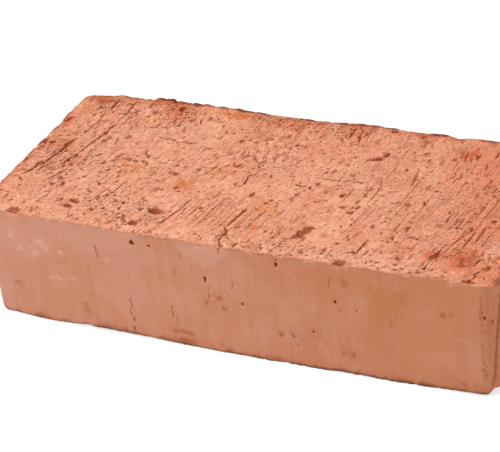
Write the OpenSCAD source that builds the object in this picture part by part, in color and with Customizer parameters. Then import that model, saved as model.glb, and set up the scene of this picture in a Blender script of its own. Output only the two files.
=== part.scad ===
// Solid wire-cut clay brick.
// A stiff clay column leaves a die with rounded corners, and taut wires cut it into bricks.
// The four upright faces keep the die's smooth skin. The two bed faces are the cuts, and
// carry the grooves, pits and torn arrises that the dragging wire leaves.
// Millimetres, origin at the middle of the lower bed face, X along the length, Z up.

/* [Brick] */
// Length over the two header faces
length = 210; // [150:1:300]
// Width over the bellies of the two stretcher faces
width = 100; // [70:1:150]
// Height between the two cut bed faces
height = 50; // [35:1:115]

/* [Die section] */
// Radius of the four upright corners
corner_r = 7; // [3:0.5:15]
// How far a stretcher face bellies out at mid length
belly = 1.5; // [0.5:0.1:4]

/* [Wire-cut bed faces] */
// Width of a long drag groove at the bed face
groove_w = 1.6; // [1:0.1:3]
// Depth of a long drag groove
groove_d = 0.6; // [0.2:0.05:0.75]
// Width of a fine drag groove at the bed face
scratch_w = 1.1; // [0.8:0.1:2]
// Depth of a fine drag groove
scratch_d = 0.4; // [0.1:0.05:0.5]
// Diameter of the largest round pit
pit_dia = 5.5; // [3:0.5:9]
// Depth of the pits, where stones and crumbs were torn out
pit_d = 1.2; // [0.3:0.1:1.5]
// Fine grooves on the lower bed face
lower_scratches = 26; // [8:1:40]

/* [Torn arrises] */
// Width of an arris chip across the edge
chip_w = 5; // [3:0.5:9]
// Depth of an arris chip, from the sharp edge inwards
chip_d = 1.6; // [0.5:0.1:2.5]
// Length of the longest arris chip
chip_len = 16; // [10:1:24]
// Width of a sag in the back arris, half of which lies on the bed face
sag_w = 9; // [6:0.5:12]
// Depth of the deepest sag
sag_d = 1.3; // [0.4:0.1:2]
// Length of the longest sag
sag_len = 44; // [30:1:60]

/* [Hidden] */
$fn = 96;

// Fired clay, as the smooth faces show it
clay = "#cf8f6f";

// Tilt of an arris chip from the bed face
arris_tilt = 45;

// How far every cutting tool runs on past the surface that it cuts
overrun = 0.8;

// Radius of the arc that bows a stretcher face, and the place of its centre
belly_r = (pow(length / 2, 2) + pow(belly, 2)) / (2 * belly);
belly_back = belly_r - width / 2;

// Centre of a corner arc that touches both the header face and the bowed stretcher face
corner_x = length / 2 - corner_r;
corner_y = sqrt(pow(belly_r - corner_r, 2) - pow(corner_x, 2)) - belly_back;

// Where a corner arc leaves the bowed stretcher face
blend_x = corner_x * belly_r / (belly_r - corner_r);
blend_y = (corner_y + belly_back) * belly_r / (belly_r - corner_r) - belly_back;

// Half depth of a stretcher face from the middle plane, at a place along the length
function stretcher_y(x) = sqrt(pow(belly_r, 2) - pow(x, 2)) - belly_back;

// The fractional part of a number, for marks that are scattered by a rule
function fraction(value) = value - floor(value);

// Long drag grooves of the upper bed face: place along the length and across the width,
// length as a share of the width, and the angle by which it leans from the width
long_groove_shares = [
    [-0.439, 0.03, 0.16, 9],
    [-0.459, -0.14, 0.19, 18],
    [-0.383, 0.35, 0.22, 0],
    [-0.390, 0.155, 0.20, 8],
    [-0.405, -0.02, 0.20, 12],
    [-0.421, 0.405, 0.12, -3],
    [-0.404, -0.185, 0.12, 19],
    [-0.125, -0.32, 0.21, 13],
    [-0.009, -0.30, 0.15, 10],
    [0.242, -0.365, 0.12, 6],
    [0.413, -0.225, 0.14, 7],
];

// Fine drag grooves of the upper bed face, in the same four columns
scratch_shares = [
    [-0.424, 0.23, 0.18, 3],
    [-0.344, 0.26, 0.11, 3],
    [-0.290, -0.28, 0.17, 13],
    [-0.093, -0.24, 0.08, 8],
    [-0.072, -0.285, 0.17, 6],
    [-0.058, -0.29, 0.14, 9],
    [-0.042, -0.042, 0.08, -6],
    [0.029, -0.29, 0.17, 8],
    [0.087, 0.41, 0.11, 0],
    [0.109, 0.395, 0.12, -8],
    [0.160, -0.035, 0.12, 5],
    [0.205, -0.01, 0.17, 4],
    [0.259, 0.125, 0.10, 0],
    [0.316, 0.34, 0.08, -4],
    [0.325, 0.345, 0.08, -3],
    [0.337, 0.33, 0.08, -4],
    [0.396, -0.235, 0.10, 17],
    [0.429, -0.18, 0.13, 5],
];

// Pits of the upper bed face: place along the length and across the width, size along and
// across the pit as shares of the largest diameter, and the angle by which it leans
pit_shares = [
    [-0.162, -0.335, 1.09, 0.84, 90],
    [-0.186, -0.435, 0.84, 0.64, -50],
    [0.133, -0.325, 2.0, 0.6, 14],
    [0.179, 0.28, 0.82, 0.46, 10],
    [0.167, 0.245, 0.9, 0.48, 60],
    [-0.326, -0.348, 0.9, 0.48, -70],
    [-0.333, -0.386, 0.65, 0.45, -80],
    [-0.338, -0.056, 0.87, 0.46, 10],
    [-0.182, -0.06, 0.58, 0.48, 90],
    [-0.488, 0.235, 1.1, 0.46, 25],
    [-0.279, 0.43, 0.9, 0.55, 10],
    [0.167, 0.46, 0.55, 0.5, 0],
    [0.224, 0.45, 0.58, 0.48, 90],
    [0.440, -0.08, 0.5, 0.46, 0],
    [0.371, -0.36, 0.58, 0.5, -60],
    [0.469, -0.38, 0.65, 0.46, 30],
    [-0.079, 0.056, 0.58, 0.46, 20],
];

// Chips along the upper and lower arrises of the stretcher faces: face (front -1, back 1),
// bed (lower -1, upper 1), place along the length, and its length and bite as shares
arris_chip_shares = [
    [-1, 1, -0.424, 0.44, 0.9],
    [-1, 1, -0.171, 0.22, 0.6],
    [-1, 1, 0.000, 0.24, 0.75],
    [-1, 1, 0.110, 0.22, 0.6],
    [-1, 1, 0.221, 0.40, 0.9],
    [-1, 1, 0.390, 0.22, 0.6],
    [-1, 1, 0.457, 0.31, 0.85],
    [-1, -1, -0.300, 0.50, 0.45],
    [-1, -1, 0.105, 0.68, 0.45],
    [-1, -1, 0.343, 0.44, 0.45],
    [1, -1, -0.214, 0.62, 0.5],
    [1, -1, 0.181, 0.50, 0.45],
];

// Sags of the upper back arris: place along the length, and its length and depth as shares
sag_shares = [
    [-0.476, 0.50, 1.0],
    [-0.381, 0.36, 0.45],
    [-0.038, 1.0, 1.0],
    [0.205, 0.36, 0.4],
    [0.286, 0.20, 0.6],
];

// Share of the bed face that the scattered grooves keep to, and the steps of their scatter
scatter_field_share = 0.78;
scatter_step_x_share = 0.618;
scatter_step_y_share = 0.276;

// Shortest scattered groove, and how much longer the longest is, as shares of the width
scatter_short_share = 0.12;
scatter_spread_share = 0.2;

// Angle by which the scattered grooves lean, and how much it varies
scatter_lean = 6;
scatter_lean_spread = 9;

// A gouge that runs along X, dips below z = 0 at its middle and runs out at both ends
module gouge(along, across, depth) {
    sweep_r = (pow(along / 2, 2) + pow(depth, 2)) / (2 * depth);
    tool_r = (pow(across / 2, 2) + pow(depth, 2)) / (2 * depth);
    reach = acos(max(-1, 1 - (depth + overrun) / sweep_r));
    translate([0, 0, sweep_r - depth])
        rotate([90, 90 + reach, 0])
            rotate_extrude(angle = 2 * reach)
                intersection() {
                    translate([sweep_r - tool_r, 0])
                        circle(r = tool_r);
                    translate([0, -sweep_r])
                        square([2 * sweep_r, 2 * sweep_r]);
                }
}

// A gouge in a bed face, leaning from the width towards the length
module bed_gouge(x, y, lean, along, across, depth) {
    translate([x, y, 0])
        rotate([0, 0, 90 - lean])
            gouge(along, across, depth);
}

// The die's section: bowed stretcher faces, flat header faces and rounded corners
module die_section() {
    polygon([
        [length / 2, -corner_y],
        [length / 2, corner_y],
        [blend_x, blend_y],
        [-blend_x, blend_y],
        [-length / 2, corner_y],
        [-length / 2, -corner_y],
        [-blend_x, -blend_y],
        [blend_x, -blend_y],
    ]);
    for (x = [-corner_x, corner_x], y = [-corner_y, corner_y])
        translate([x, y])
            circle(r = corner_r);
    for (side = [-1, 1])
        intersection() {
            translate([0, -side * belly_back])
                circle(r = belly_r, $fn = 8 * $fn);
            translate([-blend_x, side > 0 ? 0 : -width])
                square([2 * blend_x, width]);
        }
}

// What the wire tore out of the upper bed face
module upper_bed_marks() {
    translate([0, 0, height]) {
        for (mark = long_groove_shares)
            bed_gouge(mark[0] * length, mark[1] * width, mark[3], mark[2] * width, groove_w, groove_d);
        for (mark = scratch_shares)
            bed_gouge(mark[0] * length, mark[1] * width, mark[3], mark[2] * width, scratch_w, scratch_d);
        for (mark = pit_shares)
            bed_gouge(mark[0] * length, mark[1] * width, mark[4], mark[2] * pit_dia, mark[3] * pit_dia, pit_d);
    }
}

// Scattered fine grooves of the lower bed face, seen from below
module lower_bed_marks() {
    mirror([0, 0, 1])
        for (i = [0 : lower_scratches - 1]) {
            x_share = fraction(i * scatter_step_x_share) - 0.5;
            y_share = fraction(i * scatter_step_y_share) - 0.5;
            along_share = scatter_short_share + scatter_spread_share * abs(x_share);
            bed_gouge(
                x_share * scatter_field_share * length,
                y_share * scatter_field_share * width,
                scatter_lean + scatter_lean_spread * y_share,
                along_share * width,
                scratch_w,
                scratch_d
            );
        }
}

// Chips along the arrises, each gouged at the tilt that splits the edge evenly
module arris_chips() {
    for (chip = arris_chip_shares) {
        face = chip[0];
        bed = chip[1];
        x = chip[2] * length;
        translate([x, face * stretcher_y(x), bed > 0 ? height : 0])
            rotate([-face * bed * arris_tilt, 0, 0])
                mirror([0, 0, bed > 0 ? 0 : 1])
                    gouge(chip[3] * chip_len, chip_w, chip[4] * chip_d);
    }
}

// Sags where the wire let the back arris slump
module back_sags() {
    for (sag = sag_shares) {
        x = sag[0] * length;
        translate([x, stretcher_y(x), height])
            gouge(sag[1] * sag_len, sag_w, sag[2] * sag_d);
    }
}

// The whole brick: the extruded section, cut to height and marked by the wire
module brick() {
    color(clay)
        difference() {
            linear_extrude(height = height)
                die_section();
            upper_bed_marks();
            lower_bed_marks();
            arris_chips();
            back_sags();
        }
}

brick();
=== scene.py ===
"""The looks of a solid wire-cut clay brick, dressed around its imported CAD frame."""

import math

import bpy
import numpy as np
from mathutils import Matrix, Vector
from mathutils.kdtree import KDTree


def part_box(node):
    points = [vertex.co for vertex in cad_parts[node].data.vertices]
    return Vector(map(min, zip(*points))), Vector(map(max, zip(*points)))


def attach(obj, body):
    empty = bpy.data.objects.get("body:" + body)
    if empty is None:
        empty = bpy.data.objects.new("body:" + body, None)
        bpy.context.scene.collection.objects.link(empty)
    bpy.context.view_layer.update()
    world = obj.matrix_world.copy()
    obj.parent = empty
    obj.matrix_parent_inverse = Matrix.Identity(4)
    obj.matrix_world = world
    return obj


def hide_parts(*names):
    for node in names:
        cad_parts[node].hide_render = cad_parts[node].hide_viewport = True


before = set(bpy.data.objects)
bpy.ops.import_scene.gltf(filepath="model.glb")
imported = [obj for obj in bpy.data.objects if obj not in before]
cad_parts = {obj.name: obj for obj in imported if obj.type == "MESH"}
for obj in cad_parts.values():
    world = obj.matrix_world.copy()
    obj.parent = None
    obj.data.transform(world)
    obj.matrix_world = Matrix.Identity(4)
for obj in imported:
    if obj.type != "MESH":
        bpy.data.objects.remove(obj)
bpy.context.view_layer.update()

# Sizes of the brick in millimetres, taken from the frame
MM = 0.001
low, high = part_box("brick")
LENGTH, WIDTH, HEIGHT = [(high[axis] - low[axis]) / MM for axis in range(3)]

# The die's section, as the part's source has it
CORNER_RADIUS = 7.0
BELLY = 1.5

# Room left inside the box for burrs on the sides and crumbs on the cut beds
SIDE_SKIN = 0.2
UPPER_SKIN = 0.45
LOWER_SKIN = 0.1

# How far inside the box the finished mesh is held
INSET = 0.01

# Spacing of the first fine grid, the triangles that are left of it, and how much the marks are
# spared when it is thinned
GRID_STEP = 0.38
TRIANGLES = 194000
SPARED = 0.012

# Masks that colour the clay: torn clay, cracks and dark edges, orange stains, reddened clay, pale
# bloom and scuffs, and where the wire's strokes and torn grit are thick. The torn clay and the dark
# also hold painted shade, in pits, in the middle of grooves and along the arrises, and the pale
# bloom holds painted light on the front face
MASKS = ("tear", "crack", "stain", "blush", "bloom_and_painted_light", "scuff", "hatch", "grit")

# Faces and beds that a mark may lie on
FRONT, BACK = -1, 1
LOWER, UPPER = -1, 1

# How far from an arris its tears reach, and how far in from it its sags and rises reach
ARRIS_REACH = 9.0
WAVE_REACH = 4.0

# The path of the wire over a bed: its lean at mid width, and how the lean grows towards the front
DRAG_LEAN = 0.11
DRAG_CURVE = 0.0014

# How far a lip of clay overhangs the front right corner
LIP = 1.7

# Depths of pits, and the width of a chip across its arris
PIT_DEPTH = 1.2
CHIP_WIDTH = 5.0

# How the lower front arris is worn round towards its ends: where it starts, where it ends, how far
LEFT_WEAR = (-80.0, -100.0, 0.5)
RIGHT_WEAR = (60.0, 100.0, 0.9)

# How the lower front right corner is worn round besides: where that starts and where it ends, along
# the length and across the width, and how far
CORNER_WEAR_X, CORNER_WEAR_Y, CORNER_WEAR = (100.5, 104.0), (0.0, -44.0), 1.6

# Where the wear of the ends starts round a corner and where it is full, by how far the outline's
# normal points along the width
WEAR_FADE = (-0.02, -0.6)


# Repeatable noise

# Numbers that stir the lattice: for the column, row and seed, then shifts and factors
STIR_COLUMN, STIR_ROW, STIR_SEED = 374761393, 668265263, 974634777
STIR_ROUNDS = ((13, 1274126177), (15, 2246822519))
WORD, HALF_WORD = 0xFFFFFFFF, 0xFFFF

# How much finer each layer of noise is than the one before
OCTAVE_STEP = 2.03


def lattice(column, row, seed):
    """A number from -1 to 1 for each whole grid point, the same on every run."""
    mixed = column.astype(np.int64) * STIR_COLUMN + row.astype(np.int64) * STIR_ROW + seed * STIR_SEED
    mixed &= WORD
    for shift, factor in STIR_ROUNDS:
        mixed = ((mixed ^ (mixed >> shift)) * factor) & WORD
    return ((mixed ^ (mixed >> 16)) & HALF_WORD) / (HALF_WORD / 2) - 1.0


def ease(t):
    """A blend from 0 to 1 that starts and ends level."""
    return t * t * t * (t * (t * 6 - 15) + 10)


def noise(p, q, seed):
    """Smooth noise from -1 to 1 over two coordinates."""
    p, q = np.broadcast_arrays(np.asarray(p, float), np.asarray(q, float))
    column, row = np.floor(p), np.floor(q)
    u, v = ease(p - column), ease(q - row)
    near = lattice(column, row, seed) * (1 - u) + lattice(column + 1, row, seed) * u
    far = lattice(column, row + 1, seed) * (1 - u) + lattice(column + 1, row + 1, seed) * u
    return near * (1 - v) + far * v


def fractal(p, q, seed, octaves=3, gain=0.5):
    """Noise with finer noise laid over it."""
    total, weight, scale = 0.0, 1.0, 1.0
    for octave in range(octaves):
        total = total + weight * noise(p * scale, q * scale, seed + octave)
        weight *= gain
        scale *= OCTAVE_STEP
    return total


def smooth(value, start, end):
    """0 before start, 1 after end, and an even blend between them."""
    t = np.clip((value - start) / (end - start), 0, 1)
    return t * t * (3 - 2 * t)


# The skins that carry the relief

class Skin:
    """A grid of heights over one skin, in millimetres, with the masks that colour it."""

    def __init__(self, columns, rows, p, q, flow):
        self.columns, self.rows = columns, rows
        self.p, self.q, self.flow = p, q, flow
        self.height = np.zeros(p.shape)
        self.masks = {name: np.zeros(p.shape) for name in MASKS}

    def window(self, p, q, reach):
        """The part of the grid within reach of a point."""
        first_column, last_column = np.searchsorted(self.columns, (p - reach, p + reach))
        first_row, last_row = np.searchsorted(self.rows, (q - reach, q + reach))
        return slice(first_row, last_row), slice(first_column, last_column)

    def mark(self, name, amount, place=...):
        """Raises a mask to an amount from 0 to 1, all over or in one part of the grid."""
        self.masks[name][place] = np.maximum(self.masks[name][place], amount)

    def patches(self, name, table, drift):
        """Raises a mask in soft patches: place, half length and half width, and strength."""
        for p, q, long, wide, strength in table:
            away = np.hypot((self.p - p) / long, (self.q - q) / wide)
            self.mark(name, strength * smooth(away + 0.45 * drift, 1.15, 0.25))


# Pits: how ragged the rim of a large and of a small one is, and where small ends
LARGE_RIM, SMALL_RIM, SMALL_PIT = 0.22, 0.4, 2.3


def pit(skin, p, q, along, across, lean, depth, seed, tear=1.0, painted_dark=0.0):
    """A hole with a ragged rim, where a stone or a crumb was torn out, with painted shade: its torn
    clay is darker towards one side, and its middle is darker where it is deepest.
    """
    place = skin.window(p, q, 0.75 * max(along, across) + 1.5)
    grid_p, grid_q = skin.p[place], skin.q[place]
    dp, dq = grid_p - p, grid_q - q
    turn = math.radians(lean)
    run = (dq * math.cos(turn) + dp * math.sin(turn)) / (along / 2)
    side = (dp * math.cos(turn) - dq * math.sin(turn)) / (across / 2)
    rim = LARGE_RIM if min(along, across) > SMALL_PIT else SMALL_RIM
    ragged = rim * fractal(grid_p / 1.2, grid_q / 1.2, seed, 3, 0.6)
    inside = smooth(1 - np.hypot(run, side) + ragged, -0.04, 0.36)
    floor = 1 + 0.3 * noise(grid_p / 0.9, grid_q / 0.9, seed + 7)
    dug = skin.height[place] * 0.5 - depth * inside * floor
    skin.height[place] = np.minimum(skin.height[place], dug)
    # Painted shade: the torn clay is darker towards the back left on a bed and the upper left on a
    # face, as if that wall were in shadow
    painted_shade = 0.85 + 0.3 * (dq - dp) / max(along, across)
    painted_shade = np.clip(painted_shade + 0.2 * noise(grid_p / 1.3, grid_q / 1.3, seed + 9), 0.4, 1)
    skin.mark("tear", tear * painted_shade * smooth(inside, 0.1, 0.45), place)
    # Painted shade: the pit's middle is darkened where it is deepest
    skin.mark("crack", painted_dark * smooth(inside, 0.2, 0.7), place)


def groove(skin, p, q, length, width, depth, seed, lean=0.0, tear=0.7):
    """A groove that follows the wire's path and runs out at both ends."""
    place = skin.window(p, q, length / 2 + width + 3)
    grid_p, grid_q = skin.p[place], skin.q[place]
    centre = np.argmin(np.hypot(grid_p - p, grid_q - q))
    start = skin.flow[place].ravel()[centre] - grid_p.ravel()[centre] + p
    run = np.clip(1 - ((grid_q - q) / (length / 2)) ** 2, 0, 1)
    wander = 0.35 * noise(grid_q / 3.1, grid_q * 0 + seed, seed)
    swell = 0.75 + 0.5 * noise(grid_q / 1.9, grid_q * 0 + seed, seed + 5)
    side = (skin.flow[place] - start - lean * (grid_q - q) + wander) / (width / 2 * swell)
    ragged = 0.8 + 0.35 * noise(grid_q / 1.7, grid_p / 1.2, seed + 3)
    cut = np.clip(1 - side ** 2, 0, 1) * np.sqrt(run) * ragged
    skin.height[place] -= depth * cut
    skin.mark("tear", tear * smooth(cut, 0.1, 0.6), place)


def line_field(grid_p, grid_q, points):
    """How far grid points are from a line, how far along it they are, and the line's length."""
    nearest, along, done = np.full(grid_p.shape, np.inf), np.zeros(grid_p.shape), 0.0
    for (p0, q0), (p1, q1) in zip(points, points[1:]):
        span = math.hypot(p1 - p0, q1 - q0)
        dp, dq = grid_p - p0, grid_q - q0
        share = np.clip((dp * (p1 - p0) + dq * (q1 - q0)) / span ** 2, 0, 1)
        away = np.hypot(dp - share * (p1 - p0), dq - share * (q1 - q0))
        along = np.where(away < nearest, done + share * span, along)
        nearest = np.minimum(nearest, away)
        done += span
    return nearest, along, done


def line_window(skin, points):
    """The part of a skin's grid that a line through a few points runs over."""
    along, up = zip(*points)
    middle = ((min(along) + max(along)) / 2, (min(up) + max(up)) / 2)
    reach = max(max(along) - min(along), max(up) - min(up)) / 2 + 3
    return skin.window(middle[0], middle[1], reach)


def score(skin, points, width, depth, seed, strength):
    """A groove that the wire cut along a few points, with raised lips and thin ends, and painted shade
    in its deepest middle.
    """
    place = line_window(skin, points)
    grid_p, grid_q = skin.p[place], skin.q[place]
    sway = 0.16 * noise(grid_q / 2.4, grid_p / 2.4, seed)
    away, along, total = line_field(grid_p + sway, grid_q, points)
    taper = np.clip(1.05 - (2 * along / total - 1) ** 4, 0, 1)
    swell = 0.95 + 0.35 * noise(along / 1.7, along * 0 + seed, seed + 2)
    half = width / 2 * (0.45 + 0.55 * taper) * swell
    ragged = 1 + 0.4 * noise(grid_p / 0.8, grid_q / 0.8, seed + 4)
    gaps = smooth(noise(along / 2.8, along * 0 + seed, seed + 6), -1.0, -0.55)
    cut = np.clip(1.1 - (away / (half * ragged)) ** 2, 0, 1) * np.sqrt(taper) * (0.35 + 0.65 * gaps)
    lips = np.exp(-((away - 1.5 * half) / (0.6 * half)) ** 2) * taper
    skin.height[place] += 0.12 * lips - depth * cut
    skin.mark("tear", strength * smooth(cut, 0.05, 0.55), place)
    # Painted shade: the deepest middle of the groove is darkened
    skin.mark("crack", 0.55 * strength * smooth(cut, 0.5, 1.0), place)


def crack(skin, points, width, depth, seed, strength=1.0, wander=0.8):
    """A hairline crack along a few points, with a wandering and broken line."""
    place = line_window(skin, points)
    grid_p, grid_q = skin.p[place], skin.q[place]
    wander_p = wander * fractal(grid_p / 1.7, grid_q / 1.7, seed, 2)
    wander_q = wander * fractal(grid_p / 1.7, grid_q / 1.7, seed + 4, 2)
    away = line_field(grid_p + wander_p, grid_q + wander_q, points)[0]
    broken = smooth(noise(grid_p / 2.6, grid_q / 2.6, seed + 8), -0.75, 0.05)
    line = smooth(away, width, 0.2 * width) * broken
    dug = skin.height[place] * 0.6 - depth * line
    skin.height[place] = np.minimum(skin.height[place], dug)
    skin.mark("crack", 0.75 * strength * line, place)
    skin.mark("tear", strength * line, place)


# The plan of the brick and its outline

def plan_grid():
    """The plan positions of a bed's grid, with the die's round corners and bowed sides."""
    half_length, half_width = LENGTH / 2 - SIDE_SKIN, WIDTH / 2 - SIDE_SKIN
    columns = np.linspace(-half_length, half_length, round(2 * half_length / GRID_STEP) + 1)
    rows = np.linspace(-half_width, half_width, round(2 * half_width / GRID_STEP) + 1)
    x, y = np.meshgrid(columns, rows)
    into_x = np.clip((abs(x) - half_length + CORNER_RADIUS) / CORNER_RADIUS, 0, 1)
    into_y = np.clip((abs(y) - half_width + CORNER_RADIUS) / CORNER_RADIUS, 0, 1)
    round_x = half_length - CORNER_RADIUS + CORNER_RADIUS * into_x * np.sqrt(1 - into_y ** 2 / 2)
    round_y = half_width - CORNER_RADIUS + CORNER_RADIUS * into_y * np.sqrt(1 - into_x ** 2 / 2)
    corner = (into_x > 0) & (into_y > 0)
    x = np.where(corner, np.sign(x) * round_x, x)
    y = np.where(corner, np.sign(y) * round_y, y)
    y = y * (1 - 2 * BELLY / WIDTH * (2 * x / LENGTH) ** 2)
    return columns, rows, x, y


def around(grid):
    """A grid's border values, once round from the front left corner, seen from above."""
    return np.concatenate([grid[0, :-1], grid[:-1, -1], grid[-1, :0:-1], grid[:0:-1, 0]])


columns, rows, plan_x, plan_y = plan_grid()
outline_x, outline_y = around(plan_x), around(plan_y)
step_x = np.roll(outline_x, -1) - np.roll(outline_x, 1)
step_y = np.roll(outline_y, -1) - np.roll(outline_y, 1)
step = np.hypot(step_x, step_y)
normal_x, normal_y = step_y / step, -step_x / step
edge_lengths = np.hypot(np.roll(outline_x, -1) - outline_x, np.roll(outline_y, -1) - outline_y)
outline_s = np.concatenate([[0], np.cumsum(edge_lengths)[:-1]])
OUTLINE = edge_lengths.sum()
floor_z, roof_z = LOWER_SKIN, HEIGHT - UPPER_SKIN
levels = np.linspace(floor_z, roof_z, round((roof_z - floor_z) / GRID_STEP) + 1)


def place_on(start, count, coordinates, value):
    """The place on the outline of a point on one of its sides."""
    side = slice(start, start + count)
    return float(np.interp(value, coordinates[side], outline_s[side]))


def front_s(x):
    """The place on the outline of a point on the front face."""
    return place_on(0, len(columns), outline_x, x)


def back_s(x):
    """The place on the outline of a point on the back face."""
    return place_on(len(columns) + len(rows) - 2, len(columns), -outline_x, -x)


def right_s(y):
    """The place on the outline of a point on the right header."""
    return place_on(len(columns) - 1, len(rows), outline_y, y)


# Sags of the upper back arris: place along the length, half length and depth
BACK_SAGS = [
    (-102, 11, 1.5),
    (-80, 7, 0.5),
    (-8, 22, 1.25),
    (43, 8, 0.45),
    (60, 4, 0.7),
]

# Rises of the lower front arris: place along the length, half length and height
FRONT_RISES = [
    (-48, 24, 0.8),
    (50, 9, 0.5),
]


def arris_waves(table, x, away):
    """The height of the waves of an arris, at a place along it and so far away from it."""
    total = 0.0
    for middle, half, height in table:
        total = total + height * np.exp(-((x - middle) / half) ** 4 - (away / WAVE_REACH) ** 2)
    return total


def back_sag(x, y):
    """How far the upper bed sinks towards the back arris."""
    return arris_waves(BACK_SAGS, x, WIDTH / 2 - y)


def front_rise(x, y):
    """How far the lower bed rises towards the front arris."""
    return arris_waves(FRONT_RISES, x, WIDTH / 2 + y)


def end_wear(where):
    """How far the lower front arris is worn round towards its ends, at places on the outline."""
    total = 0.0
    for start, end, depth in (LEFT_WEAR, RIGHT_WEAR):
        total = total + depth * smooth(outline_x[where], start, end)
    corner = CORNER_WEAR * smooth(outline_x[where], *CORNER_WEAR_X)
    corner = corner * smooth(outline_y[where], *CORNER_WEAR_Y)
    return total * smooth(normal_y[where], *WEAR_FADE) + corner


# The skins of the two beds and of the upright faces
upper = Skin(columns, rows, plan_x, plan_y, plan_x - DRAG_LEAN * plan_y + DRAG_CURVE * plan_y ** 2)
lower = Skin(columns, rows, plan_x, plan_y, plan_x + DRAG_LEAN * plan_y - DRAG_CURVE * plan_y ** 2)
wall_s, wall_z = np.meshgrid(outline_s, levels)
wall = Skin(outline_s, levels, wall_s, wall_z, wall_s)


# The beds

# Grooves that the wire scored in the upper bed: their points in millimetres from its middle,
# width, depth and how dark they are
SCORES = [
    ([(-91, 10), (-92, 3), (-93.3, -5), (-95, -11), (-97.3, -17), (-99, -22)], 1.36, 0.6, 1.0),
    ([(-80.4, 47), (-80.3, 34), (-80.6, 24)], 0.75, 0.35, 0.8),
    ([(-80.6, 25), (-81.5, 17), (-82.3, 11), (-83.2, 6)], 1.29, 0.6, 1.0),
    ([(-83, 8), (-84.6, -1), (-86, -7), (-87.2, -12)], 0.82, 0.4, 0.9),
    ([(-88.8, 46), (-88.2, 35)], 0.95, 0.45, 0.95),
    ([(-88.6, 32), (-89.5, 14)], 0.75, 0.3, 0.75),
    ([(-83, -13), (-84.5, -17), (-86.8, -24)], 0.82, 0.4, 0.95),
    ([(-92.3, -12), (-94.5, -17)], 1.02, 0.35, 0.8),
    ([(-72, 31), (-72.5, 21)], 0.82, 0.35, 0.85),
    ([(-74, 14), (-73, 9)], 0.82, 0.3, 0.8),
    ([(-59, -20), (-61.5, -30), (-62.8, -36)], 0.75, 0.3, 0.7),
    ([(-55, -15), (-56.3, -25)], 0.75, 0.25, 0.6),
    ([(-46.6, 37), (-45.6, 33)], 0.95, 0.35, 0.9),
    ([(-57.2, 36), (-57, 31)], 0.95, 0.35, 0.9),
    ([(-24, -22), (-25.6, -31), (-28.5, -42)], 0.82, 0.4, 1.0),
    ([(-18.5, -18), (-20.6, -36)], 0.5, 0.2, 0.6),
    ([(-14.3, -18), (-16.4, -37)], 0.55, 0.25, 0.65),
    ([(-11.6, -18), (-14.3, -38)], 0.5, 0.2, 0.6),
    ([(-22.5, -24), (-24.6, -38)], 0.45, 0.2, 0.55),
    ([(-7.6, -19), (-10, -38)], 0.5, 0.2, 0.6),
    ([(2.6, -24), (0.6, -40)], 0.45, 0.2, 0.6),
    ([(11, -22), (9, -38)], 0.45, 0.2, 0.5),
    ([(-9.2, -1), (-8.5, -7.5)], 1.09, 0.5, 1.0),
    ([(-0.5, -23), (-1.6, -30), (-3, -37)], 0.95, 0.4, 1.0),
    ([(7.2, -21), (6, -28), (4.8, -37)], 0.95, 0.35, 0.75),
    ([(14.6, -7), (13.8, -12)], 0.75, 0.25, 0.7),
    ([(18.3, 46), (18.3, 36)], 0.82, 0.35, 0.9),
    ([(22, 45), (22.3, 39), (23.6, 34)], 0.82, 0.35, 0.9),
    ([(34, 2), (33, -9)], 0.75, 0.3, 0.8),
    ([(43.6, 7), (43.4, -3), (42.4, -9)], 0.75, 0.3, 0.75),
    ([(51.3, -31), (50.2, -42)], 0.95, 0.4, 0.95),
    ([(54.3, 17), (54.4, 8)], 0.75, 0.3, 0.8),
    ([(66.2, 36), (66.6, 32)], 0.8, 0.35, 0.6),
    ([(68, 38), (68.5, 31)], 0.95, 0.35, 0.8),
    ([(70.4, 35), (70.8, 31)], 0.8, 0.3, 0.5),
    ([(74, 31), (73.8, 25)], 0.7, 0.25, 0.5),
    ([(78, 31), (78.5, 25)], 0.82, 0.3, 0.8),
    ([(79.5, 41), (79.6, 36)], 0.95, 0.35, 0.9),
    ([(81, -8), (80, -17)], 0.75, 0.3, 0.7),
    ([(86, 3), (85, -8)], 0.75, 0.3, 0.7),
    ([(84.6, -19), (81.8, -28)], 0.82, 0.35, 0.9),
    ([(87.6, -16), (86, -29)], 0.82, 0.4, 0.95),
    ([(90.5, -12), (89.5, -24)], 0.75, 0.3, 0.8),
]

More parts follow.
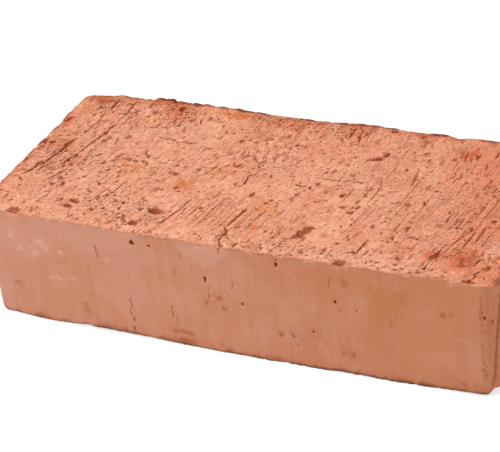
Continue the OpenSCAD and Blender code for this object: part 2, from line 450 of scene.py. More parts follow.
# Pits of the upper bed: place in millimetres, length, width and lean in degrees
UPPER_PITS = [
    (-34, -33.5, 4.8, 6.6, 0),
    (-39, -43.5, 4.0, 5.2, 40),
    (26.6, -32.6, 12.4, 4.2, 22),
    (37.6, 28, 4.5, 2.4, 10),
    (35, 24.5, 5.4, 3.4, 60),
    (-68.5, -34.8, 3.2, 5.6, 20),
    (-70, -38.6, 2.6, 4.4, 10),
    (-71, -5.6, 4.8, 2.2, 10),
    (-38.3, -6, 2.6, 3.2, 0),
    (-33.3, -7.4, 1.3, 1.3, 0),
    (-30.7, -0.6, 2.6, 1.4, 0),
    (-67.6, -2.6, 2.6, 1.8, 60),
    (-60, -5, 1.4, 2.2, 0),
    (-59, -1, 1.3, 2.4, 0),
    (-53, -2, 3.0, 1.4, 0),
    (-33.7, -15.6, 3.2, 1.3, 0),
    (-31.6, -18, 1.3, 1.3, 0),
    (-66, -27, 1.8, 2.2, 30),
    (-65, -21, 2.2, 1.2, 0),
    (-58.6, -24.5, 1.7, 1.3, 0),
    (-56.5, -25.5, 1.5, 1.7, 30),
    (-55, -27, 1.9, 1.3, 0),
    (-57.6, -27.6, 1.3, 1.5, 0),
    (-52.7, -31, 3.0, 1.3, 0),
    (-48.7, -35.4, 1.9, 1.9, 0),
    (-49, -31, 2.0, 1.3, 0),
    (-42.5, -30.7, 1.3, 1.5, 0),
    (-44.5, -40, 1.6, 1.4, 0),
    (-59, -39, 1.4, 1.8, 0),
    (-55, -37, 2.0, 1.2, 0),
    (-16.5, 5.6, 3.2, 1.6, 20),
    (-13.6, 27.2, 2.2, 1.7, 0),
    (-16.5, 25, 1.6, 2.6, 0),
    (-12, 12, 2.0, 2.0, 45),
    (1.3, -5.5, 1.4, 2.2, 60),
    (-1, -25, 2.8, 2.0, 0),
    (-102.4, 23.5, 6.0, 2.4, 25),
    (-99.4, 4.5, 3.2, 1.4, 0),
    (-103, 6, 6.0, 1.8, 0),
    (-92.4, 6, 7.0, 2.6, 8),
    (-94, -15, 2.2, 1.6, 0),
    (-98.4, -25, 3.6, 1.2, -50),
    (-93, 36, 1.6, 1.6, 0),
    (-93, 29.6, 3.0, 1.4, 0),
    (-103.6, -11, 5.0, 1.4, 0),
    (-58.6, 44, 5.0, 3.0, 10),
    (52.3, 33, 2.2, 2.0, 0),
    (47, 45.6, 2.6, 3.2, 0),
    (5.5, 46.2, 1.5, 3.2, 0),
    (35, 47, 3.0, 3.0, 0),
    (92.3, -8, 2.6, 2.5, 0),
    (91.7, -12.5, 1.6, 1.5, 0),
    (83.5, -10.3, 1.4, 1.4, 0),
    (58, -8, 2.2, 1.2, 0),
    (38.6, -8.2, 2.4, 1.2, 0),
    (78, -36, 2.8, 3.2, 30),
    (98.5, -38, 3.6, 2.2, 30),
    (103, -36, 4.0, 1.8, 0),
    (-88.6, -46.8, 4.0, 6.0, 0),
    (46.6, -47.8, 2.6, 6.0, 0),
    (77, -44.5, 4.2, 1.4, 12),
    (66.2, -44.6, 2.0, 1.5, 0),
    (47.5, -41.5, 2.6, 1.6, 50),
    (34.3, -41.5, 1.6, 2.0, 0),
    (21, -43, 4.0, 1.5, 8),
    (41.5, -36.8, 1.6, 1.6, 0),
    (30.5, -45.5, 1.6, 1.6, 0),
    (5, -48, 4.0, 1.4, 10),
    (61.7, -30.3, 1.4, 1.4, 0),
    (6.3, -15, 1.9, 1.8, 0),
    (3.3, -22.5, 1.6, 2.2, 0),
    (8.2, 3.7, 2.2, 1.2, 0),
    (27.5, 2, 1.5, 2.0, 0),
    (25.8, 24, 2.2, 1.2, 0),
    (25.5, 17, 2.2, 1.5, 0),
    (16, 35.5, 1.5, 2.2, 0),
    (49, 19.3, 3.2, 1.2, 0),
    (55.2, 27.6, 3.2, 1.2, 0),
    (37.5, 12, 2.0, 1.4, 0),
    (94.6, -48.0, 2.8, 4.6, 0),
]

# Cracks of the upper bed, in millimetres from its middle
UPPER_CRACKS = [
    [(-58, 18.7), (-50, 18.3), (-48.5, 17), (-45, 18.2), (-40, 18), (-35, 15.5), (-31.5, 15.3)],
    [(-14.2, 15.5), (-12, 12), (-10, 11), (-7, 10.2), (-3.5, 10.5)],
    [(-9, 10.5), (-8, 6.5)],
    [(-60, 27), (-57, 28), (-53, 30)],
    [(-31, 2), (-26, 1.5), (-22.5, 2)],
    [(-68, -2.5), (-63, -0.5), (-59, -1), (-53, -1)],
    [(20.5, 4.3), (25, 5), (29, 5.3), (31, 6), (33, 6), (36, 5.5)],
    [(31.2, 4.5), (31.4, 10), (31.5, 14)],
    [(0, 26.5), (3.5, 27)],
    [(11, -1.5), (13, -2), (15.5, -2)],
    [(22, -11.5), (26, -11.3)],
    [(64.5, -27), (66, -25.7), (67.5, -26.5), (70, -26.3), (73, -27)],
    [(65, 8.5), (66, 6), (68.5, 4)],
    [(62.5, -1.5), (64.5, -4.5)],
    [(-3, -37), (-0.5, -42), (-1.5, -46), (0, -50)],
    [(94.8, -47), (95.4, -42.5), (97.4, -40)],
]

# Orange stains of the upper bed: place in millimetres, half length and half width, strength
UPPER_STAINS = [
    (-57, -7, 8, 7, 1.0),
    (-31.5, -13, 5, 5, 1.0),
    (6, -20.5, 6, 6, 0.9),
    (-32, 44.5, 9, 5, 1.0),
    (-98, 34, 8, 9, 0.35),
    (-81, 43, 3.5, 5, 0.5),
    (-45, 47, 14, 4, 0.4),
]

# Reddened patches of the upper bed, in the same columns
BLUSHES = [
    (88.5, -36, 8, 10, 0.95),
    (92, 3, 8, 16, 0.65),
    (78, -35, 5, 4, 0.9),
    (98.5, -41, 5, 5, 0.6),
    (69, 35, 9, 9, 1.0),
    (-59, 41, 11, 10, 0.8),
    (-68, 47, 9, 5, 1.0),
    (-95, 43.5, 11, 5.0, 1.0),
    (-102, 23, 4, 6, 0.9),
    (-100, 5, 8, 10, 0.75),
    (-92, 6, 4, 7, 0.8),
    (-32, 44.5, 9, 5, 0.8),
    (80, 31, 9, 12, 0.6),
    (-18, 33, 8, 11, 0.45),
    (-6, 43, 18, 7, 0.65),
    (22, 44, 10, 6, 0.6),
    (50, 47, 20, 4, 0.65),
    (-33, -16, 4, 5, 0.5),
    (7, -36, 4, 8, 0.8),
    (-84, -8, 5, 9, 0.5),
    (-104, -20, 3, 24, 0.6),
    (-90, 44, 14, 4, 0.5),
]

# Paler and greyer patches of the upper bed, in the same columns
UPPER_BLOOMS = [
    (-62, 0, 48, 46, 0.35),
    (-71, -18, 14, 14, 0.8),
    (-28.5, -27, 9, 8, 0.9),
    (-50, -32, 36, 16, 0.5),
    (-45, 12, 24, 14, 0.4),
    (45, -44, 36, 6, 0.65),
    (98, -26, 6, 7, 0.8),
    (24, 8, 18, 12, 0.2),
]

# Where the wire's strokes are thick, in the same columns
HATCHES = [
    (86, -10, 20, 36, 0.62),
    (52, -2, 22, 30, 0.52),
    (-88, 8, 16, 44, 0.4),
    (-16, -31, 24, 13, 0.45),
    (-60, -25, 12, 14, 0.55),
    (10, 42, 38, 10, 0.45),
    (-57, 38, 18, 14, 0.4),
    (20, 0, 24, 20, 0.4),
    (6, -30, 14, 16, 0.42),
]

# Where small crumbs are torn out, in the same columns
GRITS = [
    (-52, -36, 36, 13, 0.8),
    (-98, 4, 11, 22, 1.0),
    (-68, -8, 30, 36, 0.5),
    (-60, 38, 18, 15, 0.9),
    (-2, 44, 48, 8, 0.7),
    (25, -45, 92, 7, 0.55),
    (86, -32, 13, 12, 0.7),
    (80, 0, 20, 24, 0.5),
    (-5, 10, 20, 15, 0.5),
    (-88, -12, 15, 17, 0.9),
    (-90, 38, 16, 14, 0.95),
    (-20, 32, 13, 13, 0.5),
]

# Lumps that the wire pulled up along the back arris: place, length and height
BACK_LUMPS = [
    (-67, 14, 0.45),
    (-54, 10, 0.4),
    (-32, 10, 0.2),
    (28, 14, 0.2),
    (53, 8, 0.25),
    (72, 10, 0.2),
]

# Chance marks of the upper and lower bed: short drag tears, small pits and shallow torn patches,
# and how far from the middle they may lie, as a share of the bed
UPPER_CHANCES = (130, 260, 85)
LOWER_CHANCES = (200, 300, 60)
MARK_FIELD, PATCH_FIELD = 0.49, 0.48

# Width and depth of the cracks of the upper bed
CRACK_WIDTH, CRACK_DEPTH = 0.45, 0.4


def bed_texture(skin, seed):
    """The wire's striations, torn grain and gentle waves over a whole bed."""
    p, q, flow = skin.p, skin.q, skin.flow
    hatch = 0.25 + skin.masks["hatch"]
    streaks = noise(flow / 1.5, q / 18, seed + 11) + noise(flow / 0.9, q / 9, seed + 12)
    grain = fractal(p / 1.3, q / 1.5, seed + 14, 2)
    scales = smooth(fractal(flow / 1.5, q / 2.6, seed + 15, 2, 0.6), 0.62, 0.86)
    thick = smooth(fractal(p / 21, q / 19, seed + 17, 2) + skin.masks["grit"], -0.4, 0.8)
    waves = 0.13 * fractal(p / 46, q / 38, seed + 16, 2)
    skin.height += waves + 0.035 * hatch * streaks + 0.06 * grain - 0.25 * scales * thick
    skin.masks["tear"] = 0.7 * scales * thick


def chance_place(rng, field):
    """A random place on a bed, no further from its middle than a share of its size."""
    return rng.uniform(-field, field) * LENGTH, rng.uniform(-field, field) * WIDTH


def scatter(skin, seed, tears, specks, patches):
    """Chance marks all over a bed: short drag tears, small pits and shallow torn patches."""
    rng = np.random.default_rng(seed)
    for i in range(tears):
        p, q = chance_place(rng, MARK_FIELD)
        length, width = rng.uniform(2.5, 9), rng.uniform(0.6, 0.95)
        groove(skin, p, q, length, width, rng.uniform(0.12, 0.3), seed + i, rng.normal(0, 0.08), 0.8)
    for i in range(specks):
        p, q = chance_place(rng, MARK_FIELD)
        size = 0.75 + 1.2 * rng.random() ** 3
        along, lean = size * rng.uniform(1.3, 2.6), rng.uniform(-15, 40)
        pit(skin, p, q, along, size, lean, 0.4 * size, seed + i, 0.95)
    for i in range(patches):
        p, q = chance_place(rng, PATCH_FIELD)
        size = rng.uniform(2, 5)
        along, lean, depth = size * rng.uniform(1, 1.7), rng.uniform(-20, 60), rng.uniform(0.15, 0.3)
        pit(skin, p, q, along, size, lean, depth, seed + i, 0.28)


def back_lumps(drift):
    """Torn lumps of clay along the back arris of the upper bed."""
    crumbly = 0.7 + 0.6 * noise(plan_x / 1.6, plan_y / 1.6, 430)
    for x, length, tall in BACK_LUMPS:
        ridge = np.exp(-(2 * (plan_x - x) / length) ** 4 - ((WIDTH / 2 - plan_y) / 2.6) ** 2)
        upper.height += tall * ridge * crumbly
        torn = smooth(ridge + 0.3 * drift, 0.3, 0.7)
        upper.mark("tear", 0.95 * torn)
        upper.mark("crack", 0.45 * torn * smooth(drift, -0.3, 0.6))


def upper_bed():
    """The bed that shows: chance marks, and the larger ones where they lie on this brick."""
    drift = fractal(plan_x / 6, plan_y / 8, 420, 3)
    for name, table in (
        ("hatch", HATCHES),
        ("grit", GRITS),
        ("blush", BLUSHES),
        ("stain", UPPER_STAINS),
        ("bloom_and_painted_light", UPPER_BLOOMS),
    ):
        upper.patches(name, table, drift)

    # The right end and the back half are redder, and the pale patches aren't
    upper.mark("blush", 0.55 * smooth(plan_x + 0.2 * plan_y + 5 * drift, 52, 94))
    upper.mark("blush", 0.25 * smooth(plan_y, 12, 42) * smooth(plan_x + 6 * drift, -30, 20))
    upper.masks["blush"] *= 1 - 0.75 * upper.masks["bloom_and_painted_light"]

    bed_texture(upper, 100)
    scatter(upper, 200, *UPPER_CHANCES)
    back_lumps(drift)
    front = -WIDTH / 2
    upper.masks["scuff"] = 0.7 * smooth(plan_y, front + 9, front + 2) * smooth(drift, -0.3, 0.5)
    for i, (x, y, along, across, lean) in enumerate(UPPER_PITS):
        depth = PIT_DEPTH * min(1, along * across / 30 + 0.4)
        pit(upper, x, y, along, across, lean, depth, 360 + i)
    for i, (points, width, depth, strength) in enumerate(SCORES):
        score(upper, points, width, depth, 300 + i, strength)
    for i, points in enumerate(UPPER_CRACKS):
        crack(upper, points, CRACK_WIDTH, CRACK_DEPTH, 490 + i)
    upper.height -= back_sag(plan_x, plan_y)


def lower_bed():
    """The hidden bed: the same cut with chance marks only."""
    lower.masks["hatch"] = 0.8 * smooth(fractal(plan_x / 34, plan_y / 30, 480, 2), -0.4, 0.7)
    lower.masks["grit"] = 0.8 * smooth(fractal(plan_x / 26, plan_y / 22, 490, 2), -0.2, 0.8)
    lower.masks["blush"] = 0.5 * smooth(fractal(plan_x / 30, plan_y / 24, 495, 3), 0.1, 0.9)
    bed_texture(lower, 500)
    scatter(lower, 600, *LOWER_CHANCES)
    lower.height -= front_rise(plan_x, plan_y)


# The sides

# Small dark pits of the front face: place along the length, height, width and height of the pit
FRONT_PITS = [
    (-37.3, 44.2, 1.7, 2.3),
    (-30, 43.8, 1.5, 1.1),
    (22, 45, 1.6, 3.2),
    (-8, 32.8, 0.9, 2.8),
    (6.5, 24.5, 1.0, 1.3),
    (34.6, 17, 1.1, 1.3),
    (44.1, 32.2, 0.7, 1.5),
    (52.5, 29.5, 0.8, 1.8),
    (100.2, 35, 0.6, 2.0),
    (102.8, 33.2, 0.7, 1.3),
]

# Cracks of the front face, in millimetres along the length and up
FRONT_CRACKS = [
    [(-41.5, 19), (-41.3, 14), (-41.8, 10), (-41, 6), (-41.5, 1)],
    [(-53.5, 40), (-53.2, 34)],
    [(-0.3, 50), (-0.8, 46.5)],
    [(-36, 50), (-35, 48)],
    [(-7, 30), (-7.5, 24), (-8.8, 20.5)],
    [(-23.5, 18), (-23, 13)],
    [(4, 34), (3, 30.5)],
    [(26.2, 15), (27, 10.5), (29.5, 8)],
    [(46, 12.5), (46, 8.5)],
    [(101, 14), (98.5, 11.5)],
]

# Fine upright scratches of the front face
FRONT_SCRATCHES = [
    [(50.4, 11), (50, 8.4)],
    [(42.3, 44), (42.2, 38)],
    [(45.3, 30.5), (45.5, 27)],
    [(-20.3, 38.5), (-20.2, 32)],
    [(-58, 19), (-57.6, 15)],
    [(-61, 9.5), (-60.5, 5)],
    [(-22, 14), (-21.7, 9)],
    [(9, 18), (9.3, 14.5)],
    [(-0.8, 46.5), (-0.4, 41.5)],
]

# Soft brown spots of the front face: place, half length and half height, strength
FRONT_SPOTS = [
    (21.3, 14, 1.6, 1.6, 1.0),
    (65.5, 26.7, 1.1, 1.3, 0.8),
    (49, 41.5, 1.8, 1.6, 0.7),
    (70, 38, 4.5, 4.0, 0.35),
    (85, 33.7, 2.0, 1.2, 1.0),
    (88, 34.8, 1.2, 0.7, 0.8),
    (-20, 6.5, 6.0, 1.2, 0.75),
    (-19, 2.5, 5.0, 1.4, 0.9),
    (-2.9, 25.4, 1.7, 1.1, 0.8),
    (-1.4, 20.6, 1.4, 1.7, 0.8),
    (-5.2, 21.4, 1.1, 1.0, 0.6),
    (-6, 22, 4.0, 6.0, 0.25),
    (-15.5, 41.7, 2.4, 0.9, 0.5),
    (-92, 16, 1.6, 1.2, 0.6),
    (-62, 9, 1.4, 4.0, 0.5),
    (49.8, 9, 2.4, 1.5, 0.6),
    (91.7, 5, 1.2, 1.2, 0.7),
    (62, 35, 7.0, 12.0, 0.26),
    (34, 15, 9.0, 6.0, 0.22),
    (-3.5, 3.7, 1.2, 1.6, 0.7),
    (102, 33.5, 1.3, 2.4, 0.5),
    (99.2, 38, 0.9, 8.0, 0.8),
    (99.4, 22, 0.8, 9.0, 0.65),
    (99.8, 10, 1.0, 5.0, 0.7),
    (101.5, 24, 2.4, 24.0, 0.27),
    (97.5, 20, 4.5, 24.0, 0.19),
]

# Ochre stains of the front face, in the same columns
FRONT_STAINS = [
    (62.5, 36, 9, 9, 0.8),
    (57, 25, 10, 10, 0.5),
    (76, 20, 14, 14, 0.15),
]

# Pale scuffs of the front face, in the same columns
FRONT_SCUFFS = [
    (-82, 31.5, 2.6, 3.2, 0.9),
    (-69.8, 33.5, 1.3, 2.0, 1.0),
    (-78.5, 36.5, 3.5, 3.0, 0.7),
    (-76.7, 35.2, 0.7, 2.6, 1.0),
    (-75.5, 34.2, 2.4, 0.7, 1.0),
    (-49, 33.8, 1.4, 1.1, 0.9),
    (-91, 38.5, 2.2, 2.6, 0.8),
    (-88, 34, 2.0, 2.4, 0.7),
    (-73, 21.5, 3.5, 0.7, 1.0),
    (-66, 22.7, 4.0, 0.6, 0.7),
    (-39, 28.5, 1.2, 1.2, 0.6),
    (-55, 19.5, 1.4, 1.4, 0.6),
    (-70, 41.5, 3.0, 1.2, 0.6),
    (-9, 47, 5.0, 2.5, 0.4),
    (92, 24, 5.0, 1.2, 0.4),
    (37, 12, 3.0, 0.8, 0.5),
]

# Greyer and pinker bloom of the front face, and a painted highlight down the round of its left
# corner, in the same columns
FRONT_BLOOMS_AND_HIGHLIGHT = [
    (-86, 38, 22, 14, 0.36),
    (-56, 45, 28, 9, 0.35),
    (-9, 45, 14, 8, 0.95),
    # Painted highlight, partly paler worn clay: the round of the left corner, lit as if it faced the
    # lamp
    (-99.5, 14, 3.5, 26, 1.0),
    (-34, 38, 8, 8, 0.3),
    (84, 14, 8, 6, 0.2),
    (98, 22, 7, 28, 0.3),
    (5, 22, 55, 24, 0.16),
    (-90, 12, 24, 14, 0.14),
]

# Width, depth, darkness and wander of the front's cracks and scratches, and of the back's cracks
FRONT_CRACK = (0.32, 0.2, 0.6, 0.45)
FRONT_SCRATCH = (0.3, 0.12, 0.32, 0.25)
BACK_CRACK = (0.3, 0.2, 0.5, 0.8)

# How many chance pits the faces that don't show have, and how many cracks the back has
CHANCE_PITS, CHANCE_CRACKS = 60, 7

# Where the faces that don't show start, past the front right corner, as a share of the outline
UNSEEN_START = 0.36

# A torn chunk that stands out at the top of the back face: its place, half length and height
CHUNK_PLACE, CHUNK_HALF, CHUNK_RISE = -68.5, 6, 0.8

# Width, depth and darkness of the crease beside the front right corner
CREASE = (1.7, 0.15, 0.45)


def hairline(points, look, seed):
    """A crack in an upright face: points on the outline and up, and how it looks."""
    width, depth, strength, wander = look
    crack(wall, points, width, depth, seed, strength, wander)


def sides():
    """The die's smooth faces: upright streaks, soft waves and a few pits and cracks."""
    across, up = outline_s[None, :], levels[:, None]
    wall.height += 0.12 * fractal(wall.p / 42, wall.q / 30, 700, 2)
    wall.height += 0.018 * noise(across / 3.1, up / 60, 710) + 0.01 * noise(across / 1.3, up / 45, 711)
    wall.height += 0.012 * fractal(wall.p / 1.6, wall.q / 2.2, 712, 2)
    drift = fractal(wall.p / 14, wall.q / 10, 715, 3)
    grit = fractal(wall.p / 1.5, wall.q / 1.5, 716, 2)
    for name, table, ragged in (
        ("blush", FRONT_SPOTS, grit),
        ("stain", FRONT_STAINS, 0.6 * drift),
        ("scuff", FRONT_SCUFFS, grit),
        ("bloom_and_painted_light", FRONT_BLOOMS_AND_HIGHLIGHT, 0.6 * drift),
    ):
        wall.patches(name, [(front_s(row[0]), *row[1:]) for row in table], ragged)
    # Painted light, partly pinker clay: the front face is paler and pinker towards the left, where the
    # lamp stands
    tone_and_painted_light = 0.12 + 0.5 * smooth(wall.p, front_s(95), front_s(-85))
    wall.masks["bloom_and_painted_light"] = np.clip(wall.masks["bloom_and_painted_light"] + tone_and_painted_light + 0.1 * drift, 0, 1)
    chunk = np.exp(-((wall.p - back_s(CHUNK_PLACE)) / CHUNK_HALF) ** 4) * smooth(wall.q, 38, 47)
    wall.height += CHUNK_RISE * chunk * (0.8 + 0.4 * noise(wall.p / 2, wall.q / 2, 718))
    rng = np.random.default_rng(720)
    for i in range(CHANCE_PITS):
        s, z = rng.uniform(OUTLINE * UNSEEN_START, OUTLINE), rng.uniform(3, HEIGHT - 3)
        size = rng.uniform(0.8, 1.4)
        pit(wall, s, z, size * rng.uniform(1, 2.2), size, 0, 0.3 * size, 730 + i, 0.4, 0.5)
    for i, (x, z, wide, tall) in enumerate(FRONT_PITS):
        pit(wall, front_s(x), z, tall, wide, 0, 0.6, 830 + i, 1.0, 0.9)
    for table, look, seed in ((FRONT_CRACKS, FRONT_CRACK, 850), (FRONT_SCRATCHES, FRONT_SCRATCH, 910)):
        for i, points in enumerate(table):
            hairline([(front_s(x), z) for x, z in points], look, seed + i)
    for i in range(CHANCE_CRACKS):
        s, z = back_s(rng.uniform(-90, 90)), rng.uniform(12, 44)
        hairline([(s, z), (s + 0.6, z - 5), (s, z - 9)], BACK_CRACK, 870 + i)
    width, depth, strength = CREASE
    crease = [(right_s(-42.4), 49), (right_s(-45), 26), (front_s(102.4), 2)]
    score(wall, crease, width, depth, 890, strength)


# The torn arrises

# Chips: face and bed, and place along the length, length and bite in millimetres
CHIPS = [
    (FRONT, UPPER, -89, 7, 1.4),
    (FRONT, UPPER, -36, 3, 0.9),
    (FRONT, UPPER, 0, 3.5, 1.2),
    (FRONT, UPPER, 23, 3.5, 0.9),
    (FRONT, UPPER, 46.5, 6.5, 1.4),
    (FRONT, UPPER, 54, 3, 0.8),
    (FRONT, UPPER, 82, 3.5, 0.9),
    (FRONT, UPPER, 96, 5, 1.4),
    (FRONT, LOWER, -97, 6, 0.7),
    (FRONT, LOWER, -63, 8, 0.7),
    (FRONT, LOWER, 22, 11, 0.7),
    (FRONT, LOWER, 72, 7, 0.7),
    (FRONT, LOWER, 82, 4, 0.8),
    (BACK, LOWER, -45, 10, 0.8),
    (BACK, LOWER, 38, 8, 0.7),
]

# Torn red clay, dark edge and reach of both along a bed's arris: front, right, back and left. The
# dark edge is painted shade, where the upper arris turns away and as a contact shadow along the
# lower arris, and the torn clay there is partly painted shade too
ARRIS_LOOKS = {
    UPPER: ((0.1, 0.5, 1.0, 0.75), (0.0, 0.2, 0.65, 0.45), (0.5, 0.8, 1.9, 1.0)),
    LOWER: ((0.5, 0.5, 0.5, 0.5), (1.0, 0.5, 0.5, 0.5), (1.1, 0.8, 0.8, 0.8)),
}

# How ragged a bed's arris is
ARRIS_RAGGED = {UPPER: 1.0, LOWER: 0.4}

# Height of the burr all round and how much more there is on the front, where that is and how far
# it reaches, and the share of it that the lower arris has
BURR_ALL, BURR_FRONT, BURR_PLACE, BURR_REACH, LOWER_BURR = 0.1, 0.3, 16, 40, 0.5

# Place, half length and drop of the lip at the front right corner
LIP_PLACE, LIP_HALF, LIP_DROP = -46, 4.5, 4

# How far a face's normal turns before the round of a corner starts
FACING = 0.7

# How much the lower arris looks like a cut
LOWER_HEM = 0.6


def arris_loss(s, t, bed, ends, seed):
    """How far an arris is worn back along its diagonal, at a place along it and across it."""
    rough = ARRIS_RAGGED[bed]
    wear = 0.2 + 0.12 * fractal(s / 9, s * 0 + bed, seed, 2)
    wear = wear + 0.12 * rough * noise(s / 1.6, t / 1.2, seed + 2)
    wear = np.maximum(wear, 0.06) + (ends if bed == LOWER else 0)
    loss = (np.sqrt(t ** 2 + wear ** 2) - abs(t)) * smooth(abs(t), ARRIS_REACH / 1.5, ARRIS_REACH / 3)
    bite = smooth(fractal(s / 4.2, t / 2.6, seed + 4, 2), 0.42, 1.0)
    loss = np.maximum(loss, 0.5 * rough * bite * np.exp(-(t / 1.2) ** 2))
    ragged = 0.35 * fractal(s / 1.8, t / 1.8, seed + 6, 2)
    for face, chip_bed, x, length, depth in CHIPS:
        if chip_bed != bed:
            continue
        run = (s - (front_s(x) if face == FRONT else back_s(x))) / (length / 2)
        side = t / (CHIP_WIDTH / 2)
        hollow = depth * (1 - run ** 2 - side ** 2 + ragged)
        loss = np.maximum(loss, np.where(abs(run) < 1.5, hollow - abs(t), 0))
    return loss


def burr(s, up, seed):
    """A lip of clay that the wire dragged over the arris, strongest on the front face."""
    front = np.exp(-((s - front_s(BURR_PLACE)) / BURR_REACH) ** 2)
    lip = smooth(fractal(s / 3.4, up / 1.5, seed, 2), -0.25, 0.75)
    return (BURR_ALL + BURR_FRONT * front) * lip * np.exp(-(up / 0.9) ** 2)


def corner_lip(s, up):
    """How far the clay that the wire dragged on overhangs the round of the front right corner."""
    return LIP * np.exp(-((s - right_s(LIP_PLACE)) / LIP_HALF) ** 4 - (up / LIP_DROP) ** 2)


def by_side(where, values):
    """The value for the side that each place on the outline belongs to."""
    front, right, back, left = values
    side = np.where(normal_x[where] > 0, right, left)
    side = np.where(normal_y[where] > FACING, back, side)
    return np.where(normal_y[where] < -FACING, front, side)


def arris_marks(where, across, bed, seed):
    """Torn red clay and a dark broken edge along an arris, both partly painted shade: where the upper
    arris turns away, and as a contact shadow along the lower arris.
    """
    tears, painted_edge_shade, reach = ARRIS_LOOKS[bed]
    s = outline_s[where]
    width = by_side(where, reach) * (0.75 + 0.45 * fractal(s / 3.1, s * 0, seed + 5, 2))
    close = np.exp(-(across / np.maximum(width, 0.15)) ** 2)
    if bed == UPPER:
        broken = smooth(fractal(s / 6.5, across / 2.5, seed, 3), -0.35, 0.4)
        painted_dark = smooth(fractal(s / 4.3, across / 1.3, seed + 8, 3), -0.5, 0.35)
        edge = close ** 2
    else:
        broken = smooth(fractal(s / 15, across / 2.5, seed, 2), -0.8, 0.2)
        painted_dark = 0.5 + 0.5 * smooth(fractal(s / 12, across / 1.3, seed + 8, 2), -0.6, 0.5)
        edge = close
    return by_side(where, tears) * broken * close, by_side(where, painted_edge_shade) * painted_dark * edge


# The whole mesh

def grid_quads(ids):
    """The faces of a grid of points, given by their numbers."""
    corners = (ids[:-1, :-1], ids[:-1, 1:], ids[1:, 1:], ids[1:, :-1])
    return np.stack(corners, -1).reshape(-1, 4)


def build_points():
    """Every grid point in millimetres with its masks, and the grid's faces."""
    size = plan_x.size
    upper_ids = np.arange(size).reshape(plan_x.shape)
    lower_ids = upper_ids + size
    ring = len(outline_s)
    wall_ids = 2 * size + np.arange((len(levels) - 2) * ring).reshape(-1, ring)
    ladder = np.vstack([around(lower_ids), wall_ids, around(upper_ids)])

    points = np.zeros((2 * size + wall_ids.size, 3))
    points[upper_ids] = np.dstack([plan_x, plan_y, roof_z + upper.height])
    points[lower_ids] = np.dstack([plan_x, plan_y, floor_z - lower.height])
    push = wall.height + burr(wall.p, roof_z - wall.q, 900)
    push += LOWER_BURR * burr(wall.p, wall.q - floor_z, 910)
    push += corner_lip(wall.p, roof_z - wall.q)
    share = (levels[:, None] - floor_z) / (roof_z - floor_z)
    wall_z = levels[:, None] - share * back_sag(outline_x, outline_y)
    wall_z = wall_z + (1 - share) * front_rise(outline_x, outline_y)
    inner = slice(1, -1)
    points[wall_ids] = np.dstack([
        outline_x + normal_x * push[inner],
        outline_y + normal_y * push[inner],
        wall_z[inner],
    ])
    for row, ids in ((0, around(lower_ids)), (-1, around(upper_ids))):
        points[ids, 0] += normal_x * push[row]
        points[ids, 1] += normal_y * push[row]

    masks = {}
    for name in MASKS:
        masks[name] = np.zeros(len(points))
        masks[name][wall_ids] = wall.masks[name][inner]
        masks[name][upper_ids] = upper.masks[name]
        masks[name][lower_ids] = lower.masks[name]
    hem = 0.7 + 0.9 * fractal(wall.p / 3.2, wall.q / 1.8, 930, 3)
    masks["bed"] = np.zeros(len(points))
    masks["bed"][:2 * size] = 1
    masks["bed"][wall_ids] = smooth(roof_z - wall.q, hem + 0.25, hem - 0.25)[inner]
    masks["bed"][ladder[0]] = LOWER_HEM

    for bed, ids in ((UPPER, upper_ids), (LOWER, lower_ids)):
        wear_arris(points, masks, bed, ids.ravel(), wall_ids)

    quads = np.concatenate([
        grid_quads(upper_ids),
        grid_quads(lower_ids)[:, [0, 3, 2, 1]],
        grid_quads(np.hstack([ladder, ladder[:, :1]])),
    ])
    return points, masks, quads


def finder(points):
    """A tree that finds the nearest of many points."""
    tree = KDTree(len(points))
    for i, point in enumerate(points):
        tree.insert(point, i)
    tree.balance()
    return tree


def wear_arris(points, masks, bed, bed_ids, wall_ids):
    """Moves the points near one bed's arris along its diagonal, by what is worn away there."""
    tree = finder([(x, y, 0) for x, y in zip(outline_x, outline_y)])
    flat_x, flat_y = plan_x.ravel(), plan_y.ravel()
    border = np.minimum(LENGTH / 2 - abs(flat_x), WIDTH / 2 - abs(flat_y)) < ARRIS_REACH
    found = [tree.find((x, y, 0))[1:] for x, y in zip(flat_x[border], flat_y[border])]
    nearest = np.array([index for index, away in found])
    away = np.array([away for index, away in found])
    edge_z = roof_z if bed == UPPER else floor_z
    wall_away = np.broadcast_to(abs(levels[1:-1, None] - edge_z), wall_ids.shape)
    close = wall_away < ARRIS_REACH
    ring_index = np.broadcast_to(np.arange(len(outline_s)), wall_ids.shape)

    ids = np.concatenate([bed_ids[border], wall_ids[close]])
    where = np.concatenate([nearest, ring_index[close]])
    across = np.concatenate([away, -wall_away[close]]) / math.sqrt(2)
    ends = end_wear(where)
    loss = arris_loss(outline_s[where], across, bed, ends, 940 + 20 * bed)
    for axis, outward in enumerate((normal_x[where], normal_y[where], bed)):
        points[ids, axis] -= outward * loss / math.sqrt(2)
    # Torn clay and a dark edge along the arris, partly painted shade where it turns away and along the
    # foot
    tears, painted_edge_shade = arris_marks(where, across, bed, 980 + 10 * bed)
    torn = np.maximum(0.95 * smooth(loss - ends, 0.3, 0.9), tears)
    bare = smooth(loss - ends, 0.12, 0.4)
    for name, amount in (("tear", torn), ("crack", painted_edge_shade), ("bed", bare)):
        masks[name][ids] = np.maximum(masks[name][ids], amount)


# Steps of the marks by which points are spared, and how much less each step weighs
SPARE_STEPS, SPARE_STEP, SPARE_LESS = 5, 0.2, 0.22


